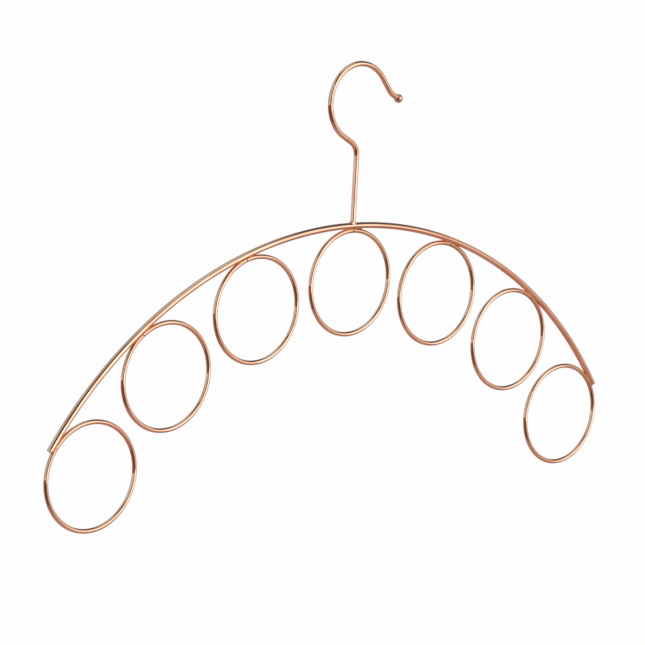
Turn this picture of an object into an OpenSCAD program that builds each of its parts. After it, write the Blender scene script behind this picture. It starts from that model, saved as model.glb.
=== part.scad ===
// Scarf hanger of bent and welded round wire: a shoulder bar, a row of rings
// under it and a rod hook on top. All sizes are millimetres.
// The origin is the rod seat, the highest point inside the hook's loop.
// +X runs along the width to the side of the hook's ball, +Y is the depth
// and +Z is up. The middle of every wire lies in the plane y = 0.

/* [Shoulder bar] */
// Diameter of the bar wire
bar_wire_d = 4; // [3.5:0.5:6]
// Radius of the arc that the middle of the bar wire follows
bar_arc_r = 286; // [260:1:400]
// Length of bar past the middle of the weld of each end ring
bar_overhang = 3.5; // [2:0.5:30]
// Bevel round each cut end of the bar
bar_end_bevel = 0.4; // [0.1:0.1:1]

/* [Rings] */
// Number of rings under the bar
ring_count = 7; // [3:1:7]
// Diameter inside a ring
ring_inner_d = 64; // [40:1:66]
// Diameter of the ring wire
ring_wire_d = 3; // [2.5:0.25:4]
// Narrowest gap between two neighbouring rings
ring_gap = 9; // [4:0.5:20]
// Gap left in a ring where the ends of its wire meet
ring_seam_gap = 0.3; // [0.1:0.1:0.6]
// Bevel round each cut end of the ring wire
ring_end_bevel = 0.3; // [0.1:0.1:0.6]

/* [Hook] */
// Diameter of the hook wire
hook_wire_d = 3.5; // [3:0.25:5]
// Straight stem from the top of the bar to the neck bend
hook_stem = 42.8; // [20:0.2:120]
// Radius of the neck bend, to the middle of the wire
hook_neck_r = 10; // [6:0.5:14]
// Angle that the neck turns away from the stem
hook_neck_angle = 60; // [50:1:65]
// Diameter inside the loop that goes over the rod
hook_inner_d = 45.5; // [40:0.5:60]
// Angle that the loop turns round the rod
hook_loop_angle = 202; // [185:1:215]
// Straight stretch after the loop
hook_lead = 10.3; // [2:0.1:20]
// Radius of the outward bend before the ball
hook_tip_r = 12; // [6:0.5:20]
// Angle of the outward bend before the ball
hook_tip_angle = 26; // [5:1:60]
// Straight stretch from the outward bend to the middle of the ball
hook_tip_reach = 4.5; // [4:0.1:12]
// Diameter of the ball
hook_ball_d = 5.7; // [5.5:0.1:9]

/* [Welds] */
// Depth to which a ring and the bar are pressed into each other
ring_weld_sink = 0.6; // [0.3:0.1:0.9]
// Length that a ring weld runs on past each end of the pressed contact
ring_weld_reach = 1.2; // [0.5:0.1:1.4]
// How far a ring weld's front and back stay inside those of the thinner wire
ring_weld_inset = 0.1; // [0.05:0.01:0.3]
// How far the front and back of the stem's weld stay inside those of the bar
hook_weld_inset = 0.075; // [0.05:0.005:0.2]
// Radius of the hollow round the stem's weld
hook_weld_r = 1.8; // [0.8:0.1:2]
// Distance from the foot of that hollow to the points that the weld would run out to
hook_weld_point = 0.95; // [0.5:0.05:3]
// How much deeper than needed a weld reaches into its wires
weld_root = 0.05; // [0.02:0.01:0.1]
// How far a weld reaches past the side of a wire that it swallows
weld_cover = 0.02; // [0.01:0.01:0.1]

/* [Hidden] */
ring_numbers = [1:ring_count];

// Facets round a wire, and round a full turn of a bend and of the bar's arc
wire_fn = 48;
bend_fn = 180;
arc_fn = 360;

// Play between the steps of a bent wire, hidden in the ball that joins them,
// and how much wider than the wire that ball is
step_play = 0.04;
joint_swell = 0.004;

copper = [0.80, 0.52, 0.40];
weld_copper = [0.70, 0.36, 0.20];

// The neck's slant ends where the loop, centred over the stem, takes over
hook_loop_r = (hook_inner_d + hook_wire_d) / 2;
hook_neck_run = (hook_loop_r * cos(hook_neck_angle)
    - hook_neck_r * (1 - cos(hook_neck_angle))) / sin(hook_neck_angle);

// The wire stops where the ball is only as wide as the wire
hook_ball_seat = sqrt(pow(hook_ball_d, 2) - pow(hook_wire_d, 2)) / 2;

// The hook's wire from the middle of the bar to the ball, each bend as its
// side, its radius and its angle
hook_path = [
    ["straight", bar_wire_d / 2 + hook_stem],
    ["left", hook_neck_r, hook_neck_angle],
    ["straight", hook_neck_run],
    ["right", hook_loop_r, hook_loop_angle],
    ["straight", hook_lead],
    ["left", hook_tip_r, hook_tip_angle],
    ["straight", hook_tip_reach - hook_ball_seat]
];

// Heights of the middle of the bar wire at its crown, and of the arc's centre
loop_centre_over_bar = bar_wire_d / 2 + hook_stem
    + (hook_neck_r + hook_loop_r) * sin(hook_neck_angle)
    + hook_neck_run * cos(hook_neck_angle);
bar_z = -hook_inner_d / 2 - loop_centre_over_bar;
arc_centre_z = bar_z - bar_arc_r;

// Rings at an even pitch along the inside of the arc
ring_r = (ring_inner_d + ring_wire_d) / 2;
ring_weld_spacing = (bar_wire_d + ring_wire_d) / 2 - ring_weld_sink;
ring_row_r = bar_arc_r - ring_weld_spacing - ring_r;
ring_pitch_angle = 2 * asin((2 * ring_r + ring_wire_d + ring_gap) / (2 * ring_row_r));
function ring_angle(number) = (number - (ring_count + 1) / 2) * ring_pitch_angle;

// Angle between the middle of the bar and each of its end faces
bar_half_angle = ring_angle(ring_count) + degrees_of(bar_overhang, bar_arc_r);

// A ring weld seen from above is a lens. The wires' edges cross a little short
// of its points, and it reaches into each wire until that is as wide as the weld,
// or right past the part of that wire that is pressed into the other one
ring_weld_depth = min(ring_wire_d, bar_wire_d) - 2 * ring_weld_inset;
function half_height_at(wire_d, depth) = sqrt(pow(wire_d, 2) - pow(depth, 2)) / 2;
bar_inner_edge_r = bar_arc_r - bar_wire_d / 2;
ring_outer_edge_r = ring_r + ring_wire_d / 2;
contact_half_angle = acos((pow(ring_row_r, 2) + pow(bar_inner_edge_r, 2)
    - pow(ring_outer_edge_r, 2)) / (2 * ring_row_r * bar_inner_edge_r));
ring_weld_half = bar_inner_edge_r * sin(contact_half_angle) + ring_weld_reach;
ring_weld_bottom = min(
    half_height_at(ring_wire_d, ring_weld_depth) - weld_root,
    ring_weld_spacing - bar_wire_d / 2 - weld_cover
);
ring_weld_top = max(
    ring_weld_spacing - half_height_at(bar_wire_d, ring_weld_depth) + weld_root,
    ring_wire_d / 2 + weld_cover
);

// The weld at the stem's foot stops where its hollow meets the bar
hook_weld_depth = bar_wire_d - 2 * hook_weld_inset;
hook_weld_foot_r = hook_wire_d / 2 + hook_weld_r;
hook_weld_half = hook_weld_foot_r + hook_weld_point;
hook_weld_bottom = half_height_at(bar_wire_d, hook_weld_depth) - weld_root;

function degrees_of(length, radius) = length / radius * 180 / PI;
function first_of(list, count) = [for (i = [0:1:count - 1]) list[i]];
function side_of(step) = step[0] == "left" ? -1 : 1;

// An arc of round wire about the origin, its middle straight up, with both
// cut ends bevelled
module arc_wire(arc_r, wire_d, half_angle, bevel) {
    difference() {
        rotate([90, 0, 0])
            rotate_extrude(angle = 2 * half_angle, start = 90 - half_angle, $fn = arc_fn)
                translate([arc_r, 0])
                    circle(d = wire_d, $fn = wire_fn);
        for (side = [-1, 1])
            rotate([0, side * half_angle, 0])
                translate([0, 0, arc_r])
                    rotate([0, side * 90, 0])
                        end_bevel(wire_d, bevel);
    }
}

// What a bevel takes off a wire that runs up and ends at the origin
module end_bevel(wire_d, bevel) {
    rotate_extrude($fn = wire_fn)
        polygon([
            [wire_d / 2 - 2 * bevel, bevel],
            [wire_d / 2 + bevel, -2 * bevel],
            [wire_d / 2 + bevel, bevel]
        ]);
}

// One step of a bent wire that starts at the origin and runs up. A straight
// stops short of its bends by a hair, and a ball as wide as the wire joins them
module wire_step(step, wire_d) {
    if (step[0] == "straight")
        translate([0, 0, step_play])
            cylinder(h = step[1] - 2 * step_play, d = wire_d, $fn = wire_fn);
    else
        translate([side_of(step) * step[1], 0, 0])
            rotate([90, 0, side_of(step) > 0 ? 180 : 0])
                rotate_extrude(angle = step[2], $fn = bend_fn)
                    translate([step[1], 0])
                        circle(d = wire_d, $fn = wire_fn);
}

// Places its children where one step ends, facing along the wire
module after_step(step) {
    if (step[0] == "straight")
        translate([0, 0, step[1]])
            children();
    else
        translate([side_of(step) * step[1], 0, 0])
            rotate([0, side_of(step) * step[2], 0])
                translate([-side_of(step) * step[1], 0, 0])
                    children();
}

// Places its children where a whole path ends
module after_path(path) {
    if (len(path) == 0)
        children();
    else
        after_path(first_of(path, len(path) - 1))
            after_step(path[len(path) - 1])
                children();
}

module bent_wire(path, wire_d) {
    for (i = [0:len(path) - 1])
        after_path(first_of(path, i)) {
            wire_step(path[i], wire_d);
            if (i > 0)
                sphere(d = wire_d + joint_swell, $fn = wire_fn);
        }
}

// Places its children at the crown of the bar wire, or at one ring's centre
// with up towards the bar
module at_bar_crown() {
    translate([0, 0, bar_z])
        children();
}

module at_ring(number) {
    translate([0, 0, arc_centre_z])
        rotate([0, ring_angle(number), 0])
            translate([0, 0, ring_row_r])
                children();
}

module bar_metal() {
    translate([0, 0, arc_centre_z])
        arc_wire(bar_arc_r, bar_wire_d, bar_half_angle, bar_end_bevel);
}

// A ring is a round bent wire whose open seam faces the bar
module ring_metal(number) {
    at_ring(number)
        rotate([0, 180, 0])
            arc_wire(ring_r, ring_wire_d, 180 - degrees_of(ring_seam_gap / 2, ring_r), ring_end_bevel);
}

module hook_metal() {
    at_bar_crown()
        bent_wire(hook_path, hook_wire_d);
}

// An upright lens, pointed at both ends along x
module lens(half_length, half_depth, height) {
    side_r = (pow(half_length, 2) + pow(half_depth, 2)) / (2 * half_depth);
    linear_extrude(height)
        intersection_for (side = [-1, 1])
            translate([0, side * (side_r - half_depth)])
                circle(side_r, $fn = arc_fn);
}

// Everything past the bar's two end faces, near the bar
module past_bar_ends() {
    reach = ring_inner_d;
    translate([0, 0, arc_centre_z])
        for (side = [-1, 1])
            rotate([0, side * bar_half_angle, 0])
                translate([side * reach / 2, 0, bar_arc_r])
                    cube(reach, center = true);
}

// Weld metal between a ring and the bar, none of it past the bar's ends
module ring_weld_metal(number) {
    difference() {
        at_ring(number)
            translate([0, 0, ring_r + ring_weld_bottom])
                lens(ring_weld_half, ring_weld_depth / 2, ring_weld_top - ring_weld_bottom);
        past_bar_ends();
    }
}

// Weld metal at the stem's foot: a lens along the bar whose flank is turned
// about the stem and runs up into it in a hollow curve
module hook_weld_metal() {
    foot = bar_wire_d / 2 - hook_weld_bottom;
    at_bar_crown()
        translate([0, 0, hook_weld_bottom])
            intersection() {
                rotate_extrude($fn = bend_fn)
                    difference() {
                        square([hook_weld_foot_r, foot + hook_weld_r]);
                        translate([hook_weld_foot_r, foot + hook_weld_r])
                            circle(hook_weld_r, $fn = wire_fn);
                    }
                lens(hook_weld_half, hook_weld_depth / 2, foot + hook_weld_r);
            }
}

// The wires give way to the weld metal that has taken their place
module shoulder_bar() {
    color(copper)
        difference() {
            bar_metal();
            hook_weld_metal();
            for (n = ring_numbers)
                ring_weld_metal(n);
        }
}

module ring(number) {
    color(copper)
        difference() {
            ring_metal(number);
            ring_weld_metal(number);
        }
}

module hook_wire() {
    color(copper)
        difference() {
            hook_metal();
            hook_weld_metal();
            below_hook_weld();
        }
}

// The stem's foot melts into its weld, so nothing of the wire is left in the bar
module below_hook_weld() {
    at_bar_crown()
        translate([0, 0, -bar_wire_d / 2])
            cylinder(h = bar_wire_d, d = 2 * hook_wire_d);
}

module hook_tip_ball() {
    color(copper)
        at_bar_crown()
            after_path(hook_path)
                difference() {
                    translate([0, 0, hook_ball_seat])
                        sphere(d = hook_ball_d, $fn = wire_fn);
                    translate([0, 0, -hook_ball_d])
                        cylinder(h = hook_ball_d, d = 2 * hook_ball_d);
                }
}

module hook_weld() {
    color(weld_copper)
        hook_weld_metal();
}

module ring_weld(number) {
    color(weld_copper)
        ring_weld_metal(number);
}

shoulder_bar();
hook_wire();
hook_tip_ball();
hook_weld();
for (n = ring_numbers)
    ring(n);
for (n = ring_numbers)
    ring_weld(n);
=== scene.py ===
"""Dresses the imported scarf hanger: plated wires, weld beads, studio and camera.

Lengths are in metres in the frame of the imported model: +X along the width to the side
of the hook's ball, +Y along the depth, +Z up, and the origin at the rod seat inside the
hook's loop. Every wire lies in the plane y = 0, and a heading is the angle from +Z
towards +X in that plane.
"""

import math

import bmesh
import bpy
from mathutils import Matrix, Vector


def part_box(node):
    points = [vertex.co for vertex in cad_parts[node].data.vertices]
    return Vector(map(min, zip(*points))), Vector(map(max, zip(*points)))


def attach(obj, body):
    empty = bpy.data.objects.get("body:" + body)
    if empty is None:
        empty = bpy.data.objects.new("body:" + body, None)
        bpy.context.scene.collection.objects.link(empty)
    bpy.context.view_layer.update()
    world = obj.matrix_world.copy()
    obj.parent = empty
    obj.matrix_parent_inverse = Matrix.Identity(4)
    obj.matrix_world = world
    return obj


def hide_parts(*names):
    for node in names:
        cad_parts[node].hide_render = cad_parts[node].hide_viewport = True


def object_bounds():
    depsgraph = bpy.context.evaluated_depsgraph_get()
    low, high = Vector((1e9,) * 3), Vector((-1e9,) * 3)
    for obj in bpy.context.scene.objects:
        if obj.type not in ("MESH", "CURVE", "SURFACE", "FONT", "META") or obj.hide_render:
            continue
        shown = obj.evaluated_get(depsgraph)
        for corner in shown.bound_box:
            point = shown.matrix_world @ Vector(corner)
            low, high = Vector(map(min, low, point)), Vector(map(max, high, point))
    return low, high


bl_info = {
    "name": "Scarf Hanger Finish",
    "version": (1, 0, 0),
    "blender": (4, 5, 0),
    "location": "View3D > Sidebar > Scarf Hanger",
    "description": "Finishes a packed wire scarf hanger and lights it in a studio",
    "category": "Object",
}

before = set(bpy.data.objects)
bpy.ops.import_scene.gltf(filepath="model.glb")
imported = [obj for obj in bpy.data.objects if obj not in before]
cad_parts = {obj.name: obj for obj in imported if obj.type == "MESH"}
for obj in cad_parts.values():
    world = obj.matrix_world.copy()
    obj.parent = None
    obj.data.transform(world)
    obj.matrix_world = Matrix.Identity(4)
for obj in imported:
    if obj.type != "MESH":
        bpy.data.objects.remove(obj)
CAD_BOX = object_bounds()

BODY = "root"
RING_WELDS = sorted(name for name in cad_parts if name.startswith("ring_weld_"))
RINGS = [name.replace("weld_", "") for name in RING_WELDS]
DEPTHWAYS = Vector((0.0, 1.0, 0.0))

# The bar and the rings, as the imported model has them
BAR_RADIUS = 0.002
BAR_ARC_RADIUS = 0.286
BAR_OVERHANG = 0.0035
BAR_END_ROUNDING = 0.0004
RING_RADIUS = 0.0335
RING_WIRE_RADIUS = 0.0015
RING_SEAM_GAP = 0.0003
RING_END_ROUNDING = 0.0003
BAR_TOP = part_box("shoulder_bar")[1][2]
BAR_MIDDLE = BAR_TOP - BAR_RADIUS
ARC_CENTRE = Vector((0.0, 0.0, BAR_MIDDLE - BAR_ARC_RADIUS))

# The hook and its ball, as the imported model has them
HOOK_WIRE_RADIUS = 0.00175
HOOK_STEM = 0.0428
HOOK_NECK_RADIUS = 0.010
HOOK_NECK_ANGLE = math.radians(60)
HOOK_LOOP_RADIUS = 0.0245
HOOK_LOOP_ANGLE = math.radians(202)
HOOK_LEAD = 0.0103
HOOK_TIP_RADIUS = 0.012
HOOK_TIP_ANGLE = math.radians(26)
HOOK_TIP_REACH = 0.0045
BALL_RADIUS = 0.00285

# The neck's slant ends where the loop, centred over the stem, takes over
HOOK_NECK_SIDEWAYS = HOOK_NECK_RADIUS * (1.0 - math.cos(HOOK_NECK_ANGLE))
HOOK_NECK_RUN = (HOOK_LOOP_RADIUS * math.cos(HOOK_NECK_ANGLE) - HOOK_NECK_SIDEWAYS) / math.sin(
    HOOK_NECK_ANGLE
)

# The wire stops where the ball is only as wide as the wire
BALL_SEAT = math.sqrt(BALL_RADIUS**2 - HOOK_WIRE_RADIUS**2)

# The hook's wire from the middle of the bar to the ball: straights with their length,
# and bends to the left or the right with their radius and angle
HOOK_STEPS = [
    ("straight", BAR_RADIUS + HOOK_STEM),
    ("left", HOOK_NECK_RADIUS, HOOK_NECK_ANGLE),
    ("straight", HOOK_NECK_RUN),
    ("right", HOOK_LOOP_RADIUS, HOOK_LOOP_ANGLE),
    ("straight", HOOK_LEAD),
    ("left", HOOK_TIP_RADIUS, HOOK_TIP_ANGLE),
    ("straight", HOOK_TIP_REACH - BALL_SEAT),
]

# The small fillet in which the plating runs onto the ball, and the angle of the flat
# that closes the ball
BALL_FILLET = 0.0005
BALL_POLE = math.radians(2)

# A ring weld, whose lowest and highest points stand over the middle of the ring's wire,
# and half its depth where it runs out
RING_WELD_HALF_LENGTH = 0.0081
RING_WELD_HALF_DEPTH = 0.0014
RING_WELD_LOW = 0.00044
RING_WELD_HIGH = 0.00158
RING_WELD_TIP = 0.00003

# The stem's weld, whose lowest points stand over the middle of the bar, the waves round
# its hollow, and how far it stands out from the stem
STEM_WELD_RISE = 0.0018
STEM_WELD_HALF_LENGTH = HOOK_WIRE_RADIUS + STEM_WELD_RISE
STEM_WELD_HALF_DEPTH = 0.00193
STEM_WELD_LOW = 0.00045
STEM_WELD_WAVES = 7
STEM_WELD_COVER = 0.00002

# How finely the wires, the ball and the welds are meshed
WIRE_SIDES = 36
BAR_BEND_STEP = math.radians(0.4)
BEND_STEP = math.radians(2)
ROUNDING_STEPS = 4
BALL_FILLET_ROWS = 5
BALL_ROWS = 24
RING_WELD_STEPS = 64
RING_WELD_LEVELS = 6
STEM_WELD_TURNS = 72
STEM_WELD_LEVELS = 10

# Detail of each noise, and the range of it that goes from none to all of its effect
CLOUD_DETAIL = 3.0
CLOUD_RANGE = (0.35, 0.60)
STREAK_DETAIL = 2.0
STREAK_RANGE = (0.3, 0.7)
WAVE_DETAIL = 1.0
RIPPLE_DETAIL = 2.0
RIPPLE_RANGE = (0.35, 0.60)

# Shares of their roughness that the wires have between and in their drawing lines, and
# that the welds have in their hollows and on their crests
WIRE_DULLNESS = (0.7, 1.5)
WELD_DULLNESS = (1.3, 0.7)

# Share of the heat tint that shows at the bar
HEAT_STRENGTH = 0.6

# The camera's sensor in millimetres, how far it sees, and the floor
SENSOR_WIDTH = 36.0
CAMERA_REACH = 200.0
FLOOR_SIZE = 80.0
FLOOR_PALE = (0.8, 0.8, 0.8, 1.0)
FLOOR_GLOW = 0.94

# Colours of the light: cool ones turn pale in the copper
WHITE = (1.0, 1.0, 1.0, 1.0)
COOL = (0.43, 0.77, 1.0, 1.0)
KEY_WHITE = (0.60, 0.90, 1.0, 1.0)
PALE_COOL = (0.80, 0.96, 1.0, 1.0)
ROOM = (0.03, 0.03, 0.03, 1.0)

# What the wires mirror: each panel's turn to the right of the camera's side and its
# elevation, both as a range in degrees, its brightness, where 1 is white, and its colour
PANELS = {
    "key_softbox": ((30, 90), (-13, 40), 2.6, KEY_WHITE),
    "key_top": ((30, 90), (40, 58), 1.0, COOL),
    "left_softbox": ((-128, -24), (-9, 46), 1.35, COOL),
    "front_softbox": ((-24, -6), (-8, 40), 1.8, COOL),
    "ceiling_lamp": ((-200, 200), (72, 100), 1.6, COOL),
    "right_ceiling": ((36, 200), (60, 72), 0.8, COOL),
    "left_ceiling": ((-200, -30), (46, 72), 1.1, COOL),
    "back_softbox": ((-200, -128), (20, 46), 0.6, PALE_COOL),
    "right_backdrop": ((90, 200), (-24, 28), 0.75, PALE_COOL),
    "right_wall": ((90, 200), (28, 60), 0.2, COOL),
    "back_backdrop": ((-200, -128), (-30, 20), 0.45, PALE_COOL),
    "far_floor": ((-200, 200), (-50, -6), 0.12, WHITE),
    "left_floor": ((-200, -62), (-50, -9), 0.22, WHITE),
    "right_floor": ((45, 92), (-50, -13), 0.36, WHITE),
    "far_right_floor": ((92, 200), (-50, -24), 0.25, WHITE),
    "near_floor": ((-75, 110), (-100, -50), 0.52, WHITE),
    "near_left_floor": ((-200, -75), (-100, -50), 0.42, WHITE),
    "near_right_floor": ((110, 200), (-100, -50), 0.45, WHITE),
}
PANEL_EDGE = math.radians(3)


class HangerPlating(bpy.types.PropertyGroup):
    """Finish of the plated wires"""

    copper: bpy.props.FloatVectorProperty(
        name="Copper",
        description="Colour of the polished rose copper plating",
        default=(0.86, 0.39, 0.25),
        subtype="COLOR",
        min=0.0,
        max=1.0,
    )
    deep_copper: bpy.props.FloatVectorProperty(
        name="Deep copper",
        description="Colour of the plating where it is a little thicker",
        default=(0.80, 0.31, 0.18),
        subtype="COLOR",
        min=0.0,
        max=1.0,
    )
    edge_copper: bpy.props.FloatVectorProperty(
        name="Edge tint",
        description="Colour that the plating turns to where it is seen edge on",
        default=(1.0, 0.86, 0.80),
        subtype="COLOR",
        min=0.0,
        max=1.0,
    )
    roughness: bpy.props.FloatProperty(
        name="Roughness",
        description="Roughness of the polished plating",
        default=0.025,
        min=0.0,
        max=1.0,
        subtype="FACTOR",
    )
    cloud_size: bpy.props.FloatProperty(
        name="Cloud size",
        description="Size of the faint clouds in the plating's colour",
        default=0.022,
        min=0.001,
        unit="LENGTH",
    )
    streak_length: bpy.props.FloatProperty(
        name="Streak length",
        description="Length of the lines that drawing the wire has left under the plating",
        default=0.030,
        min=0.001,
        unit="LENGTH",
    )
    streak_width: bpy.props.FloatProperty(
        name="Streak width",
        description="Width of the lines that drawing the wire has left under the plating",
        default=0.00025,
        min=0.00001,
        precision=5,
        unit="LENGTH",
    )
    streak_depth: bpy.props.FloatProperty(
        name="Streak depth",
        description="Depth of the lines that drawing the wire has left under the plating",
        default=0.0000015,
        min=0.0,
        precision=7,
        unit="LENGTH",
    )
    wave_size: bpy.props.FloatProperty(
        name="Wave size",
        description="Size of the faint waves in the bent and polished surface",
        default=0.006,
        min=0.0001,
        unit="LENGTH",
    )
    wave_depth: bpy.props.FloatProperty(
        name="Wave depth",
        description="Depth of the faint waves in the bent and polished surface",
        default=0.000012,
        min=0.0,
        precision=6,
        unit="LENGTH",
    )
    heat_reach: bpy.props.FloatProperty(
        name="Heat tint reach",
        description="How far below the bar the rings keep the tint of their welding",
        default=0.0050,
        min=0.0001,
        unit="LENGTH",
    )


class HangerWelds(bpy.types.PropertyGroup):
    """Shape and finish of the weld beads"""

    waist: bpy.props.FloatProperty(
        name="Waist",
        description="Share of a ring weld's depth that its hollow side draws in",
        default=0.10,
        min=0.0,
        max=0.3,
        subtype="FACTOR",
    )
    ripple_size: bpy.props.FloatProperty(
        name="Ripple size",
        description="Spacing of the ripples that the weld metal sets in",
        default=0.0009,
        min=0.0001,
        unit="LENGTH",
    )
    ripple_depth: bpy.props.FloatProperty(
        name="Ripple depth",
        description="Depth of the ripples that the weld metal sets in",
        default=0.00004,
        min=0.0,
        precision=5,
        unit="LENGTH",
    )
    colour: bpy.props.FloatVectorProperty(
        name="Weld copper",
        description="Colour of the plating over the weld metal",
        default=(0.64, 0.24, 0.11),
        subtype="COLOR",
        min=0.0,
        max=1.0,
    )
    burnt: bpy.props.FloatVectorProperty(
        name="Burnt copper",
        description="Darker colour in the hollows of the weld metal",
        default=(0.34, 0.09, 0.04),
        subtype="COLOR",
        min=0.0,
        max=1.0,
    )
    roughness: bpy.props.FloatProperty(
        name="Roughness",
        description="Roughness of the plated weld metal",
        default=0.28,
        min=0.0,
        max=1.0,
        subtype="FACTOR",
    )


class HangerStudio(bpy.types.PropertyGroup):
    """Camera, light and floor"""

    aim: bpy.props.FloatVectorProperty(
        name="Aim",
        description="Point in the plane of the wires that the camera looks at",
        default=(-0.0218, 0.0, -0.1627),
        subtype="TRANSLATION",
        unit="LENGTH",
    )
    azimuth: bpy.props.FloatProperty(
        name="Azimuth",
        description="Turn of the view from straight along the depth towards the ball's side",
        default=math.radians(42.42),
        subtype="ANGLE",
    )
    elevation: bpy.props.FloatProperty(
        name="Elevation",
        description="Angle at which the camera looks down",
        default=math.radians(9.51),
        subtype="ANGLE",
    )
    roll: bpy.props.FloatProperty(
        name="Roll",
        description="Turn of the picture about the line of sight",
        default=math.radians(2.97),
        subtype="ANGLE",
    )
    distance: bpy.props.FloatProperty(
        name="Distance",
        description="Distance from the camera to its aim",
        default=1.924,
        min=0.1,
        unit="LENGTH",
    )
    focal_length: bpy.props.FloatProperty(
        name="Focal length",
        description="Focal length on a square frame of the sensor's width, in millimetres",
        default=168.9,
        min=1.0,
    )
    floor_drop: bpy.props.FloatProperty(
        name="Floor drop",
        description="Distance from the lowest point of the hanger to the floor",
        default=0.55,
        min=0.0,
        unit="LENGTH",
    )
    level: bpy.props.FloatProperty(
        name="Light level",
        description="Brightness of the plain light that reaches the floor, where 1 is white",
        default=0.9,
        min=0.0,
    )


def ahead(heading):
    """Unit vector along a heading."""
    return Vector((math.sin(heading), 0.0, math.cos(heading)))


def rightwards(heading):
    """Unit vector to the right of a heading."""
    return ahead(heading + math.pi / 2)


def middle(node):
    """Middle of a node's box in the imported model."""
    low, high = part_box(node)
    return (Vector(low) + Vector(high)) / 2


def outward_at(ring):
    """Direction from the arc's centre to a ring's centre."""
    return (middle(ring) - ARC_CENTRE).normalized()


def trace(place, heading, steps, bend_step=BEND_STEP):
    """Places and headings along a wire that starts at a place and takes the given steps."""
    stations = [(place, heading)]
    for step in steps:
        if step[0] == "straight":
            place = place + step[1] * ahead(heading)
            stations.append((place, heading))
        else:
            _, radius, angle = step
            side = 1.0 if step[0] == "right" else -1.0
            centre = place + side * radius * rightwards(heading)
            count = math.ceil(angle / bend_step)
            for i in range(1, count + 1):
                turned = heading + side * angle * i / count
                stations.append((centre - side * radius * rightwards(turned), turned))
            place, heading = stations[-1]
    return stations


def rounded_end(place, heading, radius, rounding):
    """Rows from the face of a cut end, where the wire starts, to its full thickness."""
    rows = []
    for i in range(ROUNDING_STEPS + 1):
        angle = math.pi / 2 * i / ROUNDING_STEPS
        inset = rounding * (1.0 - math.cos(angle))
        size = radius - rounding * (1.0 - math.sin(angle))
        rows.append((place + inset * ahead(heading), heading, size))
    return rows


def wire_rows(stations, radius, rounding):
    """Rows of place, heading and radius along a wire whose two cut ends are rounded."""
    first, last = stations[0], stations[-1]
    start = rounded_end(*first, radius, rounding)
    end = rounded_end(last[0], last[1] + math.pi, radius, rounding)
    end = [(place, heading - math.pi, size) for place, heading, size in reversed(end)]
    return start + [(place, heading, radius) for place, heading in stations[1:-1]] + end


def add_piece(name, shape, material, node):
    """Turns a finished shape into a piece that rides on the hanger and stands for a node."""
    bmesh.ops.recalc_face_normals(shape, faces=shape.faces)
    for face in shape.faces:
        # Only the flat faces that close a piece have more than four corners
        face.smooth = len(face.verts) == 4
        if not face.smooth:
            for rim in face.edges:
                rim.smooth = False
    mesh = bpy.data.meshes.new(name)
    shape.to_mesh(mesh)
    shape.free()
    mesh.materials.append(material)
    piece = bpy.data.objects.new(name, mesh)
    bpy.context.scene.collection.objects.link(piece)
    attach(piece, BODY)
    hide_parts(node)


def add_wire(name, rows, material, node):
    """A round wire through rows of place, heading and radius, unrolled along its length."""
    shape = bmesh.new()
    unrolled = shape.loops.layers.uv.new("unrolled")
    loops = []
    for place, heading, radius in rows:
        loop = []
        for i in range(WIRE_SIDES):
            angle = math.tau * i / WIRE_SIDES
            offset = math.cos(angle) * DEPTHWAYS + math.sin(angle) * rightwards(heading)
            loop.append(shape.verts.new(place + radius * offset))
        loops.append(loop)
    lengths = [0.0]
    for first, second in zip(rows, rows[1:]):
        lengths.append(lengths[-1] + (second[0] - first[0]).length)
    girth = math.tau * max(radius for _, _, radius in rows)
    for i in range(len(loops) - 1):
        for k in range(WIRE_SIDES):
            after = (k + 1) % WIRE_SIDES
            corners = (loops[i][k], loops[i][after], loops[i + 1][after], loops[i + 1][k])
            face = shape.faces.new(corners)
            along = (lengths[i], lengths[i], lengths[i + 1], lengths[i + 1])
            around = (k, k + 1, k + 1, k)
            for corner, length, share in zip(face.loops, along, around):
                corner[unrolled].uv = (length, girth * share / WIRE_SIDES)
    shape.faces.new(loops[0])
    shape.faces.new(loops[-1])
    add_piece(name, shape, material, node)


def add_bead(name, loops, material, node):
    """A bead of weld metal through a row of closed loops of points."""
    shape = bmesh.new()
    rows = [[shape.verts.new(point) for point in loop] for loop in loops]
    for first, second in zip(rows, rows[1:]):
        for i in range(len(first)):
            k = (i + 1) % len(first)
            shape.faces.new([first[i], first[k], second[k], second[i]])
    shape.faces.new(rows[0])
    shape.faces.new(rows[-1])
    add_piece(name, shape, material, node)


def put(tree, kind, sockets, **settings):
    """Adds a node, with each input set to a constant or joined to another node's output."""
    made = tree.nodes.new(kind)
    for name, value in settings.items():
        setattr(made, name, value)
    for name, value in sockets.items():
        if isinstance(value, bpy.types.NodeSocket):
            tree.links.new(value, made.inputs[name])
        else:
            made.inputs[name].default_value = value
    return made


def emptied(holder):
    """The cleared node tree of a material or a world."""
    holder.use_nodes = True
    holder.node_tree.nodes.clear()
    return holder.node_tree


def noise(tree, place, size, detail):
    """Noise whose largest forms have the given size."""
    sockets = {"Vector": place, "Scale": 1.0 / size, "Detail": detail}
    return put(tree, "ShaderNodeTexNoise", sockets).outputs["Fac"]


def spread(tree, value, source, target):
    """Maps one range of values onto another, and keeps within it."""
    sockets = {
        "Value": value,
        "From Min": source[0],
        "From Max": source[1],
        "To Min": target[0],
        "To Max": target[1],
    }
    return put(tree, "ShaderNodeMapRange", sockets).outputs["Result"]


def blend(tree, share, first, second):
    """A colour that turns from the first to the second as a share goes from 0 to 1."""
    made = put(tree, "ShaderNodeMixRGB", {"Fac": share})
    for socket, colour in zip(("Color1", "Color2"), (first, second)):
        if isinstance(colour, bpy.types.NodeSocket):
            tree.links.new(colour, made.inputs[socket])
        else:
            made.inputs[socket].default_value = (*colour, 1.0)
    return made.outputs["Color"]


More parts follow.
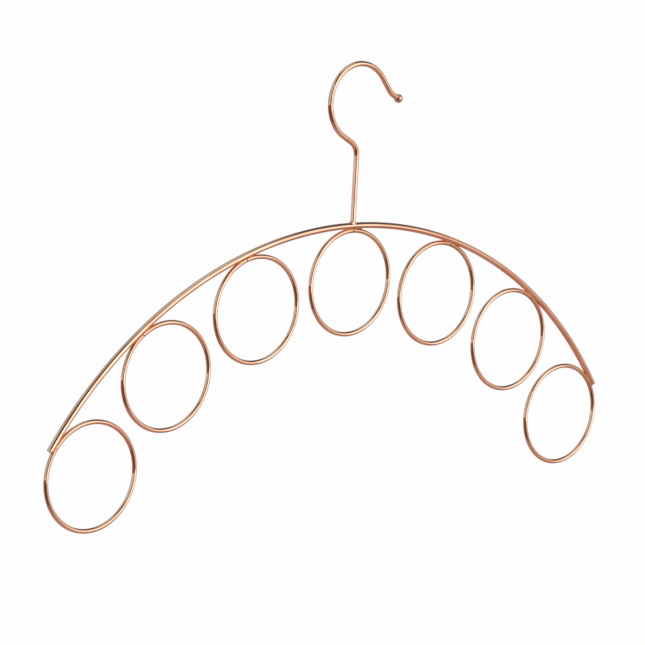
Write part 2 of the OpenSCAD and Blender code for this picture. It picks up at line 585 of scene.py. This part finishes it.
def bump(tree, height, depth, normal=None):
    """The normal of a surface with relief of the given depth, on top of another relief."""
    sockets = {"Height": height, "Distance": depth}
    if normal:
        sockets["Normal"] = normal
    return put(tree, "ShaderNodeBump", sockets).outputs["Normal"]


def combine(tree, operation, first, second):
    """One value worked out from two."""
    return put(tree, "ShaderNodeMath", {0: first, 1: second}, operation=operation).outputs["Value"]


def mix_shaders(tree, share, first, second):
    """A shader that turns from the first to the second as a share goes from 0 to 1."""
    sockets = {"Fac": share, 1: first, 2: second}
    return put(tree, "ShaderNodeMixShader", sockets).outputs["Shader"]


def heat_share(tree, place, plating):
    """Share of the heat tint, from none far below the bar to most of it at the bar."""
    sockets = {0: place, 1: ARC_CENTRE}
    reached = put(tree, "ShaderNodeVectorMath", sockets, operation="DISTANCE").outputs["Value"]
    inner_edge = BAR_ARC_RADIUS - BAR_RADIUS
    source = (inner_edge - plating.heat_reach, inner_edge)
    return spread(tree, reached, source, (0.0, HEAT_STRENGTH))


def plated_wire(name, plating, heat_colour=None):
    """Polished plating with faint clouds, drawing lines and waves, tinted by a weld's heat."""
    material = bpy.data.materials.new(name)
    tree = emptied(material)
    coordinates = put(tree, "ShaderNodeTexCoord", {}).outputs
    place = coordinates["Object"]
    clouds = noise(tree, place, plating.cloud_size, CLOUD_DETAIL)
    share = spread(tree, clouds, CLOUD_RANGE, (0.0, 1.0))
    colour = blend(tree, share, plating.deep_copper, plating.copper)
    if heat_colour:
        colour = blend(tree, heat_share(tree, place, plating), colour, heat_colour)
    scale = (1.0 / plating.streak_length, 1.0 / plating.streak_width, 1.0)
    sockets = {"Vector": coordinates["UV"], "Scale": scale}
    stretched = put(tree, "ShaderNodeMapping", sockets).outputs["Vector"]
    streaks = noise(tree, stretched, 1.0, STREAK_DETAIL)
    waves = noise(tree, place, plating.wave_size, WAVE_DETAIL)
    normal = bump(tree, waves, plating.wave_depth)
    dull = [share * plating.roughness for share in WIRE_DULLNESS]
    sockets = {
        "Base Color": colour,
        "Metallic": 1.0,
        "Specular Tint": (*plating.edge_copper, 1.0),
        "Roughness": spread(tree, streaks, STREAK_RANGE, dull),
        "Normal": bump(tree, streaks, plating.streak_depth, normal),
    }
    shader = put(tree, "ShaderNodeBsdfPrincipled", sockets)
    put(tree, "ShaderNodeOutputMaterial", {"Surface": shader.outputs["BSDF"]})
    return material


def plated_weld(welds):
    """Plated weld metal: duller and redder than the wires, and darker in its hollows."""
    material = bpy.data.materials.new("plated_weld")
    tree = emptied(material)
    place = put(tree, "ShaderNodeTexCoord", {}).outputs["Object"]
    ripples = noise(tree, place, welds.ripple_size, RIPPLE_DETAIL)
    crests = spread(tree, ripples, RIPPLE_RANGE, (0.0, 1.0))
    dull = [share * welds.roughness for share in WELD_DULLNESS]
    sockets = {
        "Base Color": blend(tree, crests, welds.burnt, welds.colour),
        "Metallic": 1.0,
        "Roughness": spread(tree, crests, (0.0, 1.0), dull),
        "Normal": bump(tree, ripples, welds.ripple_depth),
    }
    shader = put(tree, "ShaderNodeBsdfPrincipled", sockets)
    put(tree, "ShaderNodeOutputMaterial", {"Surface": shader.outputs["BSDF"]})
    return material


def add_bar(material):
    """The shoulder bar, an arc from end to end over the rings."""
    outward = outward_at(RINGS[-1])
    half_angle = math.atan2(outward.x, outward.z) + BAR_OVERHANG / BAR_ARC_RADIUS
    start = ARC_CENTRE + BAR_ARC_RADIUS * ahead(-half_angle)
    steps = [("right", BAR_ARC_RADIUS, 2.0 * half_angle)]
    stations = trace(start, math.pi / 2 - half_angle, steps, BAR_BEND_STEP)
    rows = wire_rows(stations, BAR_RADIUS, BAR_END_ROUNDING)
    add_wire("bar_plated", rows, material, "shoulder_bar")


def add_ring(ring, material):
    """One ring, bent from a wire whose two ends meet at the bar."""
    outward = outward_at(ring)
    half_gap = RING_SEAM_GAP / 2 / RING_RADIUS
    seam = math.atan2(outward.x, outward.z) + half_gap
    start = middle(ring) + RING_RADIUS * ahead(seam)
    steps = [("right", RING_RADIUS, math.tau - 2.0 * half_gap)]
    stations = trace(start, seam + math.pi / 2, steps)
    rows = wire_rows(stations, RING_WIRE_RADIUS, RING_END_ROUNDING)
    add_wire(ring + "_plated", rows, material, ring)


class OBJECT_OT_hanger_bar_and_rings(bpy.types.Operator):
    """Bend and plate the shoulder bar and the rings"""

    bl_idname = "object.hanger_bar_and_rings"
    bl_label = "Plate the Bar and the Rings"

    def execute(self, context):
        plating = context.scene.hanger_plating
        add_bar(plated_wire("plated_bar", plating))
        material = plated_wire("plated_ring", plating, context.scene.hanger_welds.colour)
        for ring in RINGS:
            add_ring(ring, material)
        return {"FINISHED"}


def ball_rows(end, heading):
    """Rows of the ball on the end of the hook's wire, from its fillet to its far pole."""
    centre = end + BALL_SEAT * ahead(heading)
    reach = BALL_RADIUS + BALL_FILLET
    rise = HOOK_WIRE_RADIUS + BALL_FILLET
    foot = math.sqrt(reach**2 - rise**2)
    meeting = math.asin(rise / reach)
    rows = []
    for i in range(BALL_FILLET_ROWS):
        angle = (math.pi / 2 - meeting) * i / BALL_FILLET_ROWS
        place = centre + (BALL_FILLET * math.sin(angle) - foot) * ahead(heading)
        rows.append((place, heading, rise - BALL_FILLET * math.cos(angle)))
    for i in range(BALL_ROWS + 1):
        angle = meeting + (math.pi - BALL_POLE - meeting) * i / BALL_ROWS
        place = centre - BALL_RADIUS * math.cos(angle) * ahead(heading)
        rows.append((place, heading, BALL_RADIUS * math.sin(angle)))
    return rows


class OBJECT_OT_hanger_hook(bpy.types.Operator):
    """Bend and plate the hook and its ball"""

    bl_idname = "object.hanger_hook"
    bl_label = "Plate the Hook"

    def execute(self, context):
        material = plated_wire("plated_hook", context.scene.hanger_plating)
        stations = trace(Vector((0.0, 0.0, BAR_MIDDLE)), 0.0, HOOK_STEPS)
        rows = [(place, heading, HOOK_WIRE_RADIUS) for place, heading in stations]
        add_wire("hook_plated", rows, material, "hook_wire")
        add_wire("ball_plated", ball_rows(*stations[-1]), material, "hook_tip_ball")
        return {"FINISHED"}


def ring_weld_loops(ring, welds):
    """Loops along the bead between a ring and the bar, which thins out to its points."""
    outward = outward_at(ring)
    along = Vector((outward.z, 0.0, -outward.x))
    crown = middle(ring) + outward * RING_RADIUS
    start = -BAR_OVERHANG if ring == RINGS[0] else -RING_WELD_HALF_LENGTH
    end = BAR_OVERHANG if ring == RINGS[-1] else RING_WELD_HALF_LENGTH
    loops = []
    for step in range(RING_WELD_STEPS + 1):
        place = start + (end - start) * step / RING_WELD_STEPS
        lens = 1.0 - (place / RING_WELD_HALF_LENGTH) ** 2
        ripple = welds.ripple_depth * math.cos(math.tau * place / welds.ripple_size)
        drawn_in = RING_WELD_HALF_DEPTH * welds.waist - ripple
        side = []
        for level in range(RING_WELD_LEVELS + 1):
            share = level / RING_WELD_LEVELS
            depth = lens * (RING_WELD_HALF_DEPTH - drawn_in * math.sin(math.pi * share) ** 2)
            height = RING_WELD_LOW + (RING_WELD_HIGH - RING_WELD_LOW) * share
            side.append((max(depth, RING_WELD_TIP), height))
        section = side + [(-depth, height) for depth, height in reversed(side)]
        base = crown + along * place
        loops.append([base + depth * DEPTHWAYS + outward * height for depth, height in section])
    return loops


def stem_weld_loops(welds):
    """Loops up the bead round the stem's foot, from inside the bar up to the stem."""
    feet = []
    for turn in range(STEM_WELD_TURNS):
        angle = math.tau * turn / STEM_WELD_TURNS
        x, y = math.cos(angle), math.sin(angle)
        reach = 1.0 / math.hypot(x / STEM_WELD_HALF_LENGTH, y / STEM_WELD_HALF_DEPTH)
        feet.append((x, y, angle, reach))
    loops = [[(x * reach, y * reach, BAR_MIDDLE + STEM_WELD_LOW) for x, y, _, reach in feet]]
    for level in range(STEM_WELD_LEVELS + 1):
        hollow = math.pi / 2 * level / STEM_WELD_LEVELS
        loop = []
        for x, y, angle, reach in feet:
            on_bar = BAR_MIDDLE + math.sqrt(BAR_RADIUS**2 - (y * reach) ** 2)
            rise = BAR_TOP + STEM_WELD_RISE - on_bar
            wave = welds.ripple_depth * math.sin(STEM_WELD_WAVES * angle) * math.sin(2.0 * hollow)
            inwards = (reach - HOOK_WIRE_RADIUS - STEM_WELD_COVER) * math.sin(hollow)
            radius = reach - inwards + wave
            loop.append((x * radius, y * radius, on_bar + rise * (1.0 - math.cos(hollow))))
        loops.append(loop)
    return loops


class OBJECT_OT_hanger_welds(bpy.types.Operator):
    """Build and plate the weld beads of the rings and of the stem"""

    bl_idname = "object.hanger_welds"
    bl_label = "Build the Welds"

    def execute(self, context):
        welds = context.scene.hanger_welds
        material = plated_weld(welds)
        for node, ring in zip(RING_WELDS, RINGS):
            add_bead(node + "_bead", ring_weld_loops(ring, welds), material, node)
        plated = plated_wire("plated_stem_weld", context.scene.hanger_plating)
        add_bead("hook_weld_bead", stem_weld_loops(welds), plated, "hook_weld")
        return {"FINISHED"}


def direction(azimuth, elevation):
    """Unit vector at an azimuth from +Y towards +X and an elevation above the horizon."""
    level = math.cos(elevation)
    return Vector((math.sin(azimuth) * level, math.cos(azimuth) * level, math.sin(elevation)))


def add_camera(studio):
    """A camera at the photograph's viewing angle, framed for a square picture."""
    sight = direction(studio.azimuth, -studio.elevation)
    data = bpy.data.cameras.new("camera")
    data.sensor_fit = "HORIZONTAL"
    data.sensor_width = SENSOR_WIDTH
    data.lens = studio.focal_length
    data.clip_end = CAMERA_REACH
    camera = bpy.data.objects.new("camera", data)
    place = Vector(studio.aim) - studio.distance * sight
    turn = sight.to_track_quat("-Z", "Y").to_matrix().to_4x4()
    camera.matrix_world = Matrix.Translation(place) @ turn @ Matrix.Rotation(studio.roll, 4, "Z")
    bpy.context.scene.collection.objects.link(camera)
    bpy.context.scene.camera = camera


def seen_directly(tree):
    """1 for camera and transmission rays, and the output that tells glossy rays."""
    path = put(tree, "ShaderNodeLightPath", {}).outputs
    seen = combine(tree, "MAXIMUM", path["Is Camera Ray"], path["Is Transmission Ray"])
    return seen, path["Is Glossy Ray"]


def add_floor(studio):
    """A plain pale floor that reads as white and keeps a faint shadow."""
    half = FLOOR_SIZE / 2
    height = CAD_BOX[0][2] - studio.floor_drop
    corners = [(-half, -half), (half, -half), (half, half), (-half, half)]
    shape = bmesh.new()
    shape.faces.new([shape.verts.new((x, y, height)) for x, y in corners])
    mesh = bpy.data.meshes.new("floor")
    shape.to_mesh(mesh)
    shape.free()
    floor = bpy.data.objects.new("floor", mesh)
    floor.visible_glossy = False
    bpy.context.scene.collection.objects.link(floor)
    material = bpy.data.materials.new("floor")
    tree = emptied(material)
    seen, _ = seen_directly(tree)
    matt = put(tree, "ShaderNodeBsdfDiffuse", {"Color": FLOOR_PALE}).outputs["BSDF"]
    glow = put(tree, "ShaderNodeEmission", {"Color": WHITE}).outputs["Emission"]
    surface = mix_shaders(tree, combine(tree, "MULTIPLY", seen, FLOOR_GLOW), matt, glow)
    put(tree, "ShaderNodeOutputMaterial", {"Surface": surface})
    mesh.materials.append(material)


def edge(tree, angle, limit, side):
    """Rises from 0 to 1 as an angle passes a limit in degrees, or falls where side is -1."""
    sockets = {
        "Value": angle,
        "From Min": math.radians(limit) - side * PANEL_EDGE / 2,
        "From Max": math.radians(limit) + side * PANEL_EDGE / 2,
    }
    made = put(tree, "ShaderNodeMapRange", sockets, interpolation_type="SMOOTHSTEP")
    return made.outputs["Result"]


def background(tree, colour, strength):
    """Light of one colour from all around."""
    sockets = {"Color": colour, "Strength": strength}
    return put(tree, "ShaderNodeBackground", sockets).outputs["Background"]


def mirrored_light(tree, studio):
    """The dark room and its panels, as the wires mirror them."""
    place = put(tree, "ShaderNodeTexCoord", {}).outputs["Generated"]
    sockets = {"Vector": place, "Angle": studio.azimuth}
    facing = put(tree, "ShaderNodeVectorRotate", sockets, rotation_type="Z_AXIS").outputs["Vector"]
    axes = put(tree, "ShaderNodeSeparateXYZ", {"Vector": facing}).outputs
    turn = combine(tree, "ARCTAN2", axes["X"], combine(tree, "MULTIPLY", axes["Y"], -1.0))
    height = combine(tree, "ARCSINE", axes["Z"], 0.0)
    mirrored = background(tree, ROOM, 1.0)
    for turns, heights, brightness, colour in PANELS.values():
        for angle, limits in ((turn, turns), (height, heights)):
            brightness = combine(tree, "MULTIPLY", edge(tree, angle, limits[0], 1), brightness)
            brightness = combine(tree, "MULTIPLY", edge(tree, angle, limits[1], -1), brightness)
        sockets = {0: mirrored, 1: background(tree, colour, brightness)}
        mirrored = put(tree, "ShaderNodeAddShader", sockets).outputs["Shader"]
    return mirrored


def add_world(studio):
    """White behind the hanger, and lit panels in a dark room for the wires to mirror."""
    world = bpy.data.worlds.new("studio")
    bpy.context.scene.world = world
    tree = emptied(world)
    seen, glossy = seen_directly(tree)
    plain = background(tree, WHITE, studio.level)
    unseen = mix_shaders(tree, glossy, plain, mirrored_light(tree, studio))
    surface = mix_shaders(tree, seen, unseen, background(tree, WHITE, 1.0))
    put(tree, "ShaderNodeOutputWorld", {"Surface": surface})


class OBJECT_OT_hanger_stage(bpy.types.Operator):
    """Set up the camera, the floor and the light"""

    bl_idname = "object.hanger_stage"
    bl_label = "Set Up the Studio"

    def execute(self, context):
        studio = context.scene.hanger_studio
        add_camera(studio)
        add_floor(studio)
        add_world(studio)
        return {"FINISHED"}


class VIEW3D_PT_hanger(bpy.types.Panel):
    """Lists the hanger's operators and settings"""

    bl_idname = "VIEW3D_PT_hanger"
    bl_label = "Scarf Hanger"
    bl_space_type = "VIEW_3D"
    bl_region_type = "UI"
    bl_category = "Scarf Hanger"

    def draw(self, context):
        for operator in OPERATORS:
            self.layout.operator(operator.bl_idname)
        for holder, group in PROPERTY_GROUPS.items():
            box = self.layout.box()
            for name in group.__annotations__:
                box.prop(getattr(context.scene, holder), name)


PROPERTY_GROUPS = {
    "hanger_plating": HangerPlating,
    "hanger_welds": HangerWelds,
    "hanger_studio": HangerStudio,
}
OPERATORS = (
    OBJECT_OT_hanger_bar_and_rings,
    OBJECT_OT_hanger_hook,
    OBJECT_OT_hanger_welds,
    OBJECT_OT_hanger_stage,
)


def register():
    for cls in (*PROPERTY_GROUPS.values(), *OPERATORS, VIEW3D_PT_hanger):
        bpy.utils.register_class(cls)
    for name, group in PROPERTY_GROUPS.items():
        setattr(bpy.types.Scene, name, bpy.props.PointerProperty(type=group))


def unregister():
    for name in PROPERTY_GROUPS:
        delattr(bpy.types.Scene, name)
    for cls in reversed((*PROPERTY_GROUPS.values(), *OPERATORS, VIEW3D_PT_hanger)):
        bpy.utils.unregister_class(cls)


def main():
    register()
    bpy.context.scene.view_settings.view_transform = "Standard"
    bpy.ops.object.hanger_bar_and_rings()
    bpy.ops.object.hanger_hook()
    bpy.ops.object.hanger_welds()
    bpy.ops.object.hanger_stage()


if __name__ == "__main__":
    main()
